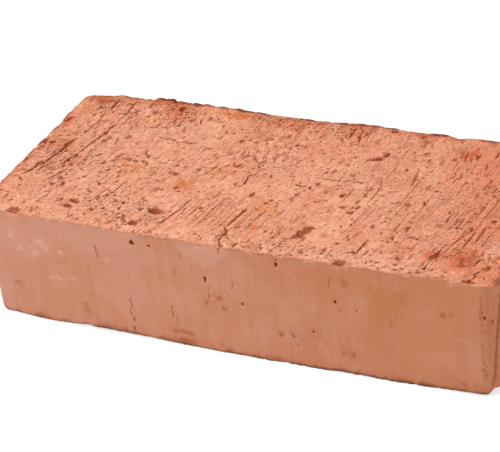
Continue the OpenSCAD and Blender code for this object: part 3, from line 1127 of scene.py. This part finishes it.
def thin_out(piece, masks, ratio):
    """Thins the mesh where it is plain, and spares the points in and beside a mark."""
    spots = (1 - masks["bed"]) * np.maximum(masks["blush"], masks["scuff"])
    marked = np.maximum.reduce([masks["tear"], masks["crack"], spots])
    group = piece.vertex_groups.new(name="plain")
    for level in range(SPARE_STEPS):
        chosen = np.flatnonzero(marked >= level * SPARE_STEP)
        group.add(chosen.tolist(), 1 - SPARE_LESS * level, "REPLACE")
    thin = piece.modifiers.new("thin", "DECIMATE")
    thin.ratio = ratio
    thin.use_collapse_triangulate = True
    thin.vertex_group = group.name
    thin.vertex_group_factor = SPARED
    evaluated = piece.evaluated_get(bpy.context.evaluated_depsgraph_get())
    thinned = bpy.data.meshes.new_from_object(evaluated)
    piece.modifiers.clear()
    piece.vertex_groups.clear()
    return thinned


def make_brick():
    """The closed mesh, thinned where it is plain, with its masks on the points."""
    points, masks, quads = build_points()
    corner_low, corner_high = np.array(low) / MM, np.array(high) / MM
    points = np.clip(points, corner_low, corner_high)
    mesh = bpy.data.meshes.new("brick_clay")
    mesh.from_pydata(points.tolist(), [], quads.tolist())
    piece = bpy.data.objects.new("brick_clay", mesh)
    bpy.context.scene.collection.objects.link(piece)
    thinned = thin_out(piece, masks, min(1.0, TRIANGLES / (2 * len(quads))))
    piece.data = thinned
    bpy.data.meshes.remove(mesh)

    tree = finder(points)
    nearest = np.array([tree.find(vertex.co)[1] for vertex in thinned.vertices])
    for name, values in masks.items():
        layer = thinned.attributes.new(name, "FLOAT", "POINT")
        layer.data.foreach_set("value", values[nearest].astype(np.float32))
    flat = np.array([vertex.co for vertex in thinned.vertices])
    flat = np.clip(flat, corner_low + INSET, corner_high - INSET)
    thinned.vertices.foreach_set("co", flat.ravel())
    thinned.transform(Matrix.Scale(MM, 4))
    thinned.shade_smooth()
    return piece


# The fired clay

# Values that most of a noise lies between, and how far a lane's strokes may shift, in strokes
NOISE_RANGE = (0.3, 0.7)
LANE_SHIFT = 9.7


class Graph:
    """Short calls for building the nodes of a material or world."""

    def __init__(self, owner):
        self.owner = owner
        owner.use_nodes = True
        self.tree = owner.node_tree
        self.tree.nodes.clear()

    def node(self, kind, **inputs):
        made = self.tree.nodes.new(kind)
        for name, value in inputs.items():
            self.set(made.inputs[name.replace("_", " ")], value)
        return made

    def set(self, socket, value):
        if isinstance(value, bpy.types.NodeSocket):
            self.tree.links.new(value, socket)
        else:
            socket.default_value = value

    def math(self, operation, *values):
        made = self.tree.nodes.new("ShaderNodeMath")
        made.operation = operation
        for socket, value in zip(made.inputs, values):
            self.set(socket, value)
        return made.outputs[0]

    def times(self, first, second):
        return self.math("MULTIPLY", first, second)

    def plus(self, first, second):
        return self.math("ADD", first, second)

    def most(self, first, second):
        return self.math("MAXIMUM", first, second)

    def blend(self, factor, first, second, mode="MIX"):
        made = self.tree.nodes.new("ShaderNodeMix")
        made.data_type = "RGBA"
        made.blend_type = mode
        for index, value in ((0, factor), (6, first), (7, second)):
            self.set(made.inputs[index], value)
        return made.outputs[2]

    def ramp(self, value, start, end, least=0.0, most=1.0):
        made = self.node("ShaderNodeMapRange")
        made.interpolation_type = "SMOOTHSTEP"
        for index, number in enumerate((value, start, end, least, most)):
            self.set(made.inputs[index], number)
        return made.outputs[0]

    def attribute(self, name):
        made = self.tree.nodes.new("ShaderNodeAttribute")
        made.attribute_name = name
        return made.outputs["Fac"]

    def swing(self, field, least, most):
        """The usual range of a noise, spread from one value to another."""
        return self.ramp(field, *NOISE_RANGE, least, most)

    def tint(self, colour, factor):
        """A colour made darker or lighter by a factor."""
        return self.blend(1.0, colour, factor, "MULTIPLY")

    def coats(self, colour, *layers):
        """A colour under others, each with the share that it covers."""
        for share, above in layers:
            colour = self.blend(share, colour, above)
        return colour

    def noise(self, places, sizes, detail, roughness):
        """Noise over three coordinates, with the size of its lumps along each."""
        vector = self.node("ShaderNodeCombineXYZ")
        for socket, value, size in zip(vector.inputs, places, sizes):
            plain = isinstance(value, float)
            self.set(socket, value * (1 / size) if plain else self.times(value, 1 / size))
        looks = {"Scale": 1.0, "Detail": detail, "Roughness": roughness}
        return self.node("ShaderNodeTexNoise", Vector=vector.outputs[0], **looks).outputs[0]

    def chances(self, first, second, seed):
        """Three random numbers for a cell."""
        cell = self.node("ShaderNodeCombineXYZ", X=first, Y=second, Z=float(seed))
        white = self.tree.nodes.new("ShaderNodeTexWhiteNoise")
        white.noise_dimensions = "3D"
        self.set(white.inputs["Vector"], cell.outputs[0])
        return self.node("ShaderNodeSeparateColor", Color=white.outputs["Color"]).outputs

    def strokes(self, flow, run, share, spacing, length, width, seed):
        """Thin strokes along the wire's path, one at most to a cell, with tapered ends."""
        lane = self.math("DIVIDE", flow, spacing)
        lane_cell = self.math("FLOOR", lane)
        shift = self.chances(lane_cell, 0.5, seed)[0]
        place = self.math("MULTIPLY_ADD", shift, LANE_SHIFT, self.math("DIVIDE", run, length))
        offset, present, weight = self.chances(lane_cell, self.math("FLOOR", place), seed + 1)
        middle = self.math("MULTIPLY_ADD", offset, 0.5, 0.25)
        away = self.math("ABSOLUTE", self.math("SUBTRACT", self.math("FRACT", lane), middle))
        away = self.times(away, spacing)
        along = self.math("SUBTRACT", self.times(self.math("FRACT", place), 2.0), 1.0)
        taper = self.math("SUBTRACT", 1.0, self.times(along, along))
        half = self.times(self.math("MULTIPLY_ADD", weight, 0.6 * width, 0.4 * width), taper)
        line = self.ramp(away, self.plus(half, 0.02), self.times(half, 0.4))
        return self.times(line, self.math("LESS_THAN", present, share))


# Colours of the clay, in linear light
CLAY = (0.780, 0.305, 0.174, 1)
PALE = (0.885, 0.391, 0.240, 1)
CREAM = (0.990, 0.605, 0.435, 1)
PEACH = (0.850, 0.340, 0.165, 1)
ROSE = (0.800, 0.325, 0.215, 1)
EMBER = (0.740, 0.222, 0.105, 1)
RED = (0.650, 0.150, 0.067, 1)
DEEP = (0.420, 0.098, 0.034, 1)
TORN = (0.270, 0.042, 0.009, 1)
AMBER = (0.770, 0.250, 0.085, 1)
ASH = (0.870, 0.410, 0.285, 1)
DARK = (0.115, 0.016, 0.002, 1)
# The die's paler tone, which also carries painted light on the front face
BLOOM_AND_PAINTED_LIGHT = (0.728, 0.346, 0.237, 1)
BROWN = (0.640, 0.238, 0.119, 1)
OCHRE = (0.650, 0.242, 0.095, 1)
UMBER = (0.450, 0.120, 0.047, 1)

# Noises of the clay: size of the lumps along three axes in millimetres, detail and roughness
MOTTLE = ((9, 12, 9), 4, 0.6)
CLOUD = ((30, 34, 24), 3, 0.55)
GRAIN = ((0.55, 0.55, 0.55), 3, 0.65)
COARSE = ((1.1, 1.6, 1.1), 3, 0.6)
WAVER = ((14, 20, 14), 2, 0.5)
ROUGH = ((0.8, 1.1, 0.8), 2, 0.6)
UPRIGHT = ((1.8, 1.8, 40), 3, 0.6)
LEVEL = ((26, 26, 1.4), 3, 0.6)

# Noises along the wire's path, where the last axis only holds a seed, and their seeds
DRAWN, DRAWN_SEED = ((0.85, 26, 1), 2, 0.55), 41.0
FLAKE, FLAKE_SEED = ((0.9, 2.2, 1), 2, 0.6), 31.0
BLOTCH, BLOTCH_SEED = ((2.6, 3.6, 1), 3, 0.6), 53.0
DASH_DETAIL, DASH_ROUGHNESS = 2, 0.55

# How far the two noises push the wire's path aside
WAVER_PUSH, ROUGH_PUSH = 2.4, 0.16

# Long and faint lines of the wire: spacing, length and width in millimetres, and a seed
LONG_LINES = (2.4, 32.0, 0.34, 3)
FAINT_LINES = (1.3, 15.0, 0.26, 11)

# Shares of the clay that its marks and patches cover with their colour
FAINT_SHARE, LINE_SHARE, DASH_SHARE, TEAR_SHARE, CRACK_SHARE = 0.62, 0.72, 0.92, 0.97, 0.88
ASH_SHARE, UMBER_SHARE, OCHRE_SHARE = 0.7, 0.85, 0.9

# Heights of the finest relief in millimetres, which is bump: on the beds, and on every face
BED_GRAIN, BED_COARSE = 0.16, 0.18
LINE_CUT, FAINT_CUT, DASH_CUT, FLAKE_RISE = -0.12, -0.08, -0.24, 0.08
FACE_GRAIN, FACE_STREAK = 0.03, 0.025

# The same all over the brick
ROUGHNESS, SPECULAR = 0.92, 0.03

# Torn dashes and crumbs: width and length of their cells in millimetres, a seed, how rare they are
# and how much more of them there are where they are thick
DASHES = [
    (0.75, 1.5, 7.0, 0.66, 0.065),
    (1.4, 1.9, 19.0, 0.68, 0.065),
    (2.6, 3.2, 23.0, 0.705, 0.055),
    (0.6, 6.0, 29.0, 0.695, 0.05),
]

# How far the painted highlight lies beside its mark, and how soft a mark's edge is
HIGHLIGHT_STEP, DASH_EDGE = 0.5, 0.016


def clay_material():
    """Fired clay: streaked and torn on the cut beds, smooth with upright streaks on the sides."""
    g = Graph(bpy.data.materials.new("fired_clay"))
    where = g.node("ShaderNodeTexCoord").outputs["Object"]
    split = g.node("ShaderNodeSeparateXYZ", Vector=where)
    x, y, z = [g.times(axis, 1 / MM) for axis in split.outputs]
    bend = g.times(g.times(y, y), DRAG_CURVE)
    flow = g.plus(g.math("SUBTRACT", x, g.times(y, DRAG_LEAN)), bend)
    run = g.plus(y, z)
    masks = {name: g.attribute(name) for name in MASKS + ("bed",)}
    bed, hatch, grit = [masks[name] for name in ("bed", "hatch", "grit")]

    # Tones that drift over the whole brick, and its grain
    mottle = g.noise((x, y, z), *MOTTLE)
    cloud = g.noise((x, y, z), *CLOUD)
    grain = g.noise((x, y, z), *GRAIN)
    coarse = g.noise((x, run, z), *COARSE)

    # Long and faint lines along the wire's path
    rough = g.noise((x, y, z), *ROUGH)
    path = g.plus(flow, g.times(g.noise((x, y, z), *WAVER), WAVER_PUSH))
    path = g.plus(path, g.times(rough, ROUGH_PUSH))
    broken = g.ramp(rough, 0.28, 0.36)
    lines = g.strokes(path, y, g.times(hatch, 0.8), *LONG_LINES)
    faint = g.strokes(path, y, g.math("MULTIPLY_ADD", hatch, 0.5, 0.06), *FAINT_LINES)
    lines = g.times(lines, broken)
    faint = g.times(faint, broken)

    # Torn dashes and crumbs, each with a painted highlight on one side, and pale flakes
    thick = g.most(g.times(hatch, 0.55), grit)
    beside = g.math("SUBTRACT", path, HIGHLIGHT_STEP)
    before = g.plus(run, HIGHLIGHT_STEP)
    dark_marks, lips = 0.0, 0.0
    for wide, long, seed, edge, crowd in DASHES:
        look = ((wide, long, 1), DASH_DETAIL, DASH_ROUGHNESS)
        edge = g.math("MULTIPLY_ADD", thick, -crowd, edge)
        sharp = g.plus(edge, DASH_EDGE)
        dark_marks = g.most(dark_marks, g.ramp(g.noise((path, run, seed), *look), edge, sharp))
        # The pale lips are painted highlights: the same marks, shifted to one side
        lips = g.most(lips, g.ramp(g.noise((beside, before, seed), *look), edge, sharp))
    pale = g.noise((path, run, FLAKE_SEED), *FLAKE)
    flakes_and_highlights = g.most(g.ramp(pale, 0.57, 0.68), lips)

    # The cut beds
    blotch = g.noise((path, run, BLOTCH_SEED), *BLOTCH)
    drawn = g.noise((path, run, DRAWN_SEED), *DRAWN)
    patchy = g.times(g.ramp(mottle, 0.32, 0.6, 0.72, 1.0), g.ramp(blotch, 0.36, 0.6, 0.72, 1.12))
    blush = g.times(masks["blush"], patchy)
    crumbly = g.times(masks["scuff"], g.ramp(rough, 0.45, 0.6))
    cut = g.coats(
        g.blend(g.ramp(mottle, 0.36, 0.66), CLAY, PALE),
        (g.ramp(cloud, 0.52, 0.68, 0, 0.25), PEACH),
        (g.ramp(cloud, 0.48, 0.32, 0, 0.6), ROSE),
        (g.times(masks["bloom_and_painted_light"], ASH_SHARE), ASH),
        (g.ramp(blush, 0.0, 0.8), EMBER),
        (g.ramp(blush, 0.55, 0.95, 0, 0.95), RED),
        # Cream on pale flakes, on the painted highlights beside the torn marks, and on crumbly scuffs
        (g.times(g.most(flakes_and_highlights, crumbly), g.ramp(blush, 0.2, 0.9, 0.6, 0.3)), CREAM),
        (g.times(masks["stain"], g.ramp(pale, 0.6, 0.35, 0.55, 0.95)), AMBER),
        (g.times(faint, FAINT_SHARE), DEEP),
        (g.times(lines, LINE_SHARE), DEEP),
        (g.times(dark_marks, DASH_SHARE), TORN),
    )
    cut = g.tint(cut, g.swing(grain, 0.9, 1.06))
    cut = g.tint(cut, g.swing(coarse, 0.9, 1.08))
    cut = g.blend(g.ramp(hatch, 0.15, 0.6, 1.0, 0.35), cut, g.tint(cut, g.swing(blotch, 0.86, 1.1)))
    cut = g.blend(hatch, cut, g.tint(cut, g.ramp(drawn, 0.35, 0.65, 0.84, 1.12)))

    # The die's smooth skin
    upright = g.noise((x, y, z), *UPRIGHT)
    level = g.noise((x, y, z), *LEVEL)
    # Bloom pales the die; on the front face it also carries painted light, paler towards the left and
    # down the left corner
    shade = masks["bloom_and_painted_light"]
    for field, change in ((mottle, 0.1), (cloud, 0.12), (level, 0.03), (upright, 0.11)):
        shade = g.plus(shade, g.swing(field, -change, change))
    die = g.coats(
        g.blend(g.ramp(shade, -0.1, 1.1), BROWN, BLOOM_AND_PAINTED_LIGHT),
        (g.ramp(upright, 0.52, 0.78, 0, 0.05), DEEP),
        (g.times(masks["blush"], UMBER_SHARE), UMBER),
        (g.times(masks["stain"], OCHRE_SHARE), OCHRE),
        (g.times(masks["scuff"], g.ramp(rough, 0.42, 0.54, 0.1, 0.5)), CREAM),
    )
    die = g.tint(die, g.swing(coarse, 0.965, 1.035))

    # Both together, with what is torn and cracked
    torn = g.times(masks["tear"], g.ramp(rough, 0.3, 0.6, 1.0, 0.88))
    colour = g.coats(
        g.blend(bed, die, cut),
        (g.times(torn, TEAR_SHARE), TORN),
        (g.times(masks["crack"], CRACK_SHARE), DARK),
    )

    # The finest relief
    bed_relief = g.plus(g.times(grain, BED_GRAIN), g.times(coarse, BED_COARSE))
    marks = ((lines, LINE_CUT), (faint, FAINT_CUT), (dark_marks, DASH_CUT), (flakes_and_highlights, FLAKE_RISE))
    for mark, rise in marks:
        bed_relief = g.plus(bed_relief, g.times(mark, rise))
    face_relief = g.plus(g.times(grain, FACE_GRAIN), g.times(upright, FACE_STREAK))
    relief = g.plus(g.times(bed_relief, bed), face_relief)
    bump = g.node("ShaderNodeBump", Strength=1.0, Distance=MM, Height=relief)
    shader = g.node("ShaderNodeBsdfPrincipled", Base_Color=colour, Normal=bump.outputs[0])
    shader.inputs["Roughness"].default_value = ROUGHNESS
    shader.inputs["Specular IOR Level"].default_value = SPECULAR
    output = g.node("ShaderNodeOutputMaterial", Surface=shader.outputs[0])
    output.is_active_output = True
    return g.owner


# The studio

# The photograph's camera: its direction and roll in degrees, how far off it stands and how far
# the brick lies from the middle of the picture, both in brick lengths, and its focal length
CAMERA_AZIMUTH, CAMERA_ELEVATION, CAMERA_ROLL = 26.33, 31.89, -6.04
CAMERA_DISTANCE, CAMERA_RIGHT, CAMERA_UP = 3.4713, 0.0605, -0.1109
FOCAL_PIXELS, PICTURE_WIDTH = 1808.0, 500.0
SENSOR = 36.0
CLIP_START = 0.01

# Light on the brick: place, size and watts of the two soft boxes, and the even light all round
KEY_PLACE, KEY_SIZE, KEY_WATTS = (-0.5, -0.5, 1.25), 0.5, 15.2
FILL_PLACE, FILL_SIZE, FILL_WATTS = (0.95, -0.35, 0.4), 0.6, 2.7
SKY = 0.38

# The point that the soft boxes face
LAMP_AIM = (0, 0, 0.025)

# The floor: how light it is and glows where it is seen, how light it is to the brick, and how far
# it reaches from the middle
FLOOR_SEEN, FLOOR_GLOW, FLOOR_PLAIN, FLOOR_REACH = 0.4, 0.68, 0.6, 4.0


def add_camera():
    """The photograph's camera."""
    azimuth, elevation, roll = map(math.radians, (CAMERA_AZIMUTH, CAMERA_ELEVATION, CAMERA_ROLL))
    right = Vector((math.cos(azimuth), math.sin(azimuth), 0))
    forward = Vector((
        -math.sin(azimuth) * math.cos(elevation),
        math.cos(azimuth) * math.cos(elevation),
        -math.sin(elevation),
    ))
    up = right.cross(forward)
    turned_right = math.cos(roll) * right + math.sin(roll) * up
    turned_up = math.cos(roll) * up - math.sin(roll) * right
    unit = LENGTH * MM
    place = -unit * (CAMERA_RIGHT * turned_right + CAMERA_UP * turned_up + CAMERA_DISTANCE * forward)
    data = bpy.data.cameras.new("camera")
    data.sensor_fit = "HORIZONTAL"
    data.sensor_width = SENSOR
    data.lens = FOCAL_PIXELS * SENSOR / PICTURE_WIDTH
    data.clip_start = CLIP_START
    camera = bpy.data.objects.new("camera", data)
    turn = Matrix((turned_right, turned_up, -forward)).transposed()
    camera.matrix_world = Matrix.Translation(place) @ turn.to_4x4()
    bpy.context.scene.collection.objects.link(camera)
    bpy.context.scene.camera = camera


def add_lamp(name, place, size, watts):
    """A square soft box that faces the brick."""
    data = bpy.data.lights.new(name, "AREA")
    data.shape = "SQUARE"
    data.size = size
    data.energy = watts
    lamp = bpy.data.objects.new(name, data)
    lamp.location = place
    aim = Vector(LAMP_AIM) - lamp.location
    lamp.rotation_euler = aim.to_track_quat("-Z", "Y").to_euler()
    bpy.context.scene.collection.objects.link(lamp)


def shown_directly(g):
    """1 for rays from the camera, straight or by a mirror or glass, and 0 for the light's own."""
    path = g.node("ShaderNodeLightPath").outputs
    shown = g.most(path["Is Camera Ray"], path["Is Glossy Ray"])
    return g.most(shown, path["Is Transmission Ray"])


def grey(value):
    """A colour without hue."""
    return (value, value, value, 1)


def add_floor():
    """A white floor that keeps the brick's shadow."""
    g = Graph(bpy.data.materials.new("studio_floor"))
    shade = g.node("ShaderNodeBsdfDiffuse", Color=grey(FLOOR_SEEN))
    glow = g.node("ShaderNodeEmission", Color=grey(1), Strength=FLOOR_GLOW)
    seen = g.node("ShaderNodeAddShader")
    g.set(seen.inputs[0], shade.outputs[0])
    g.set(seen.inputs[1], glow.outputs[0])
    plain = g.node("ShaderNodeBsdfDiffuse", Color=grey(FLOOR_PLAIN))
    mixed = g.node("ShaderNodeMixShader", Fac=shown_directly(g))
    g.set(mixed.inputs[1], plain.outputs[0])
    g.set(mixed.inputs[2], seen.outputs[0])
    g.node("ShaderNodeOutputMaterial", Surface=mixed.outputs[0])
    mesh = bpy.data.meshes.new("floor")
    corners = [(x * FLOOR_REACH, y * FLOOR_REACH, 0) for x, y in ((-1, -1), (1, -1), (1, 1), (-1, 1))]
    mesh.from_pydata(corners, [], [(0, 1, 2, 3)])
    floor = bpy.data.objects.new("floor", mesh)
    floor.data.materials.append(g.owner)
    bpy.context.scene.collection.objects.link(floor)


def add_world():
    """Even light all round, and plain white where the world itself is seen."""
    g = Graph(bpy.data.worlds.new("studio"))
    strength = g.node("ShaderNodeMix", Factor=shown_directly(g), A=SKY, B=1.0)
    light = g.node("ShaderNodeBackground", Color=grey(1), Strength=strength.outputs["Result"])
    g.node("ShaderNodeOutputWorld", Surface=light.outputs[0])
    bpy.context.scene.world = g.owner


bpy.context.scene.view_settings.view_transform = "Standard"
add_camera()
add_world()
add_floor()
add_lamp("key", KEY_PLACE, KEY_SIZE, KEY_WATTS)
add_lamp("fill", FILL_PLACE, FILL_SIZE, FILL_WATTS)

upper_bed()
lower_bed()
sides()
brick = make_brick()
brick.data.materials.append(clay_material())
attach(brick, "root")
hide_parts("brick")
